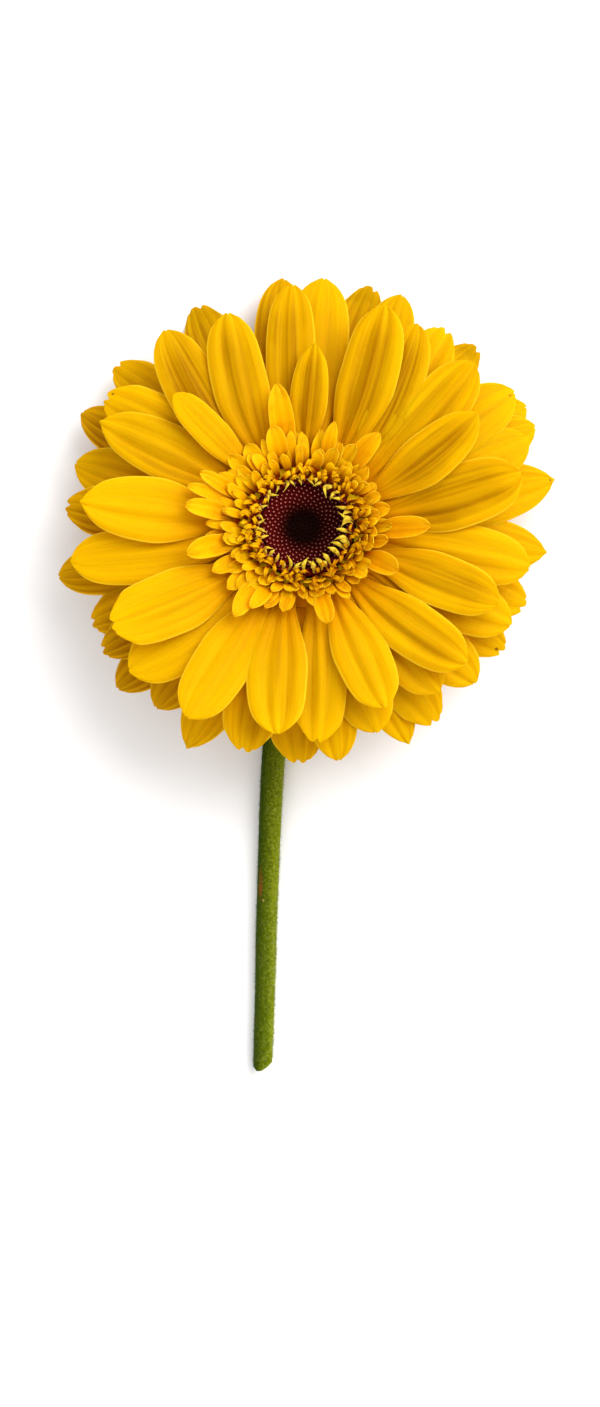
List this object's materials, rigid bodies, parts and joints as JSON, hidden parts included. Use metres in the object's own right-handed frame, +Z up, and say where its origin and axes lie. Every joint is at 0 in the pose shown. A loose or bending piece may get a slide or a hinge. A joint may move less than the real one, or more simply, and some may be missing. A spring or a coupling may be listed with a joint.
{
  "type": "cut gerbera",
  "caption": "Yellow cut gerbera lying face up: layered petals, small inner petals and florets round a dark eye, a green cup of bracts and a bent stem cut at a slant.",
  "frame": {"origin": "on the resting surface, under the middle of the part's box", "axes": "+Z up, the way the bloom faces; +Y along the stem, from its cut end towards the bloom; +X to the right of the bloom seen from above"},
  "size_m": [0.1102, 0.1758, 0.0392],
  "materials": {
    "ray_petal": "soft, satin yellow petal",
    "inner_petal": "soft, warm yellow petal",
    "open_floret": "soft, pale yellow floret tips",
    "dark_eye": "matt dark maroon buds",
    "involucre": "matt green leaf",
    "stem": "satin green stem with fine hairs"
  },
  "bodies": {
    "root": {"ray_petals": "ray_petal", "inner_petals": "inner_petal", "open_florets": "open_floret", "dark_eye": "dark_eye", "involucre": "involucre", "stem": "stem"}
  },
  "joints": []
}
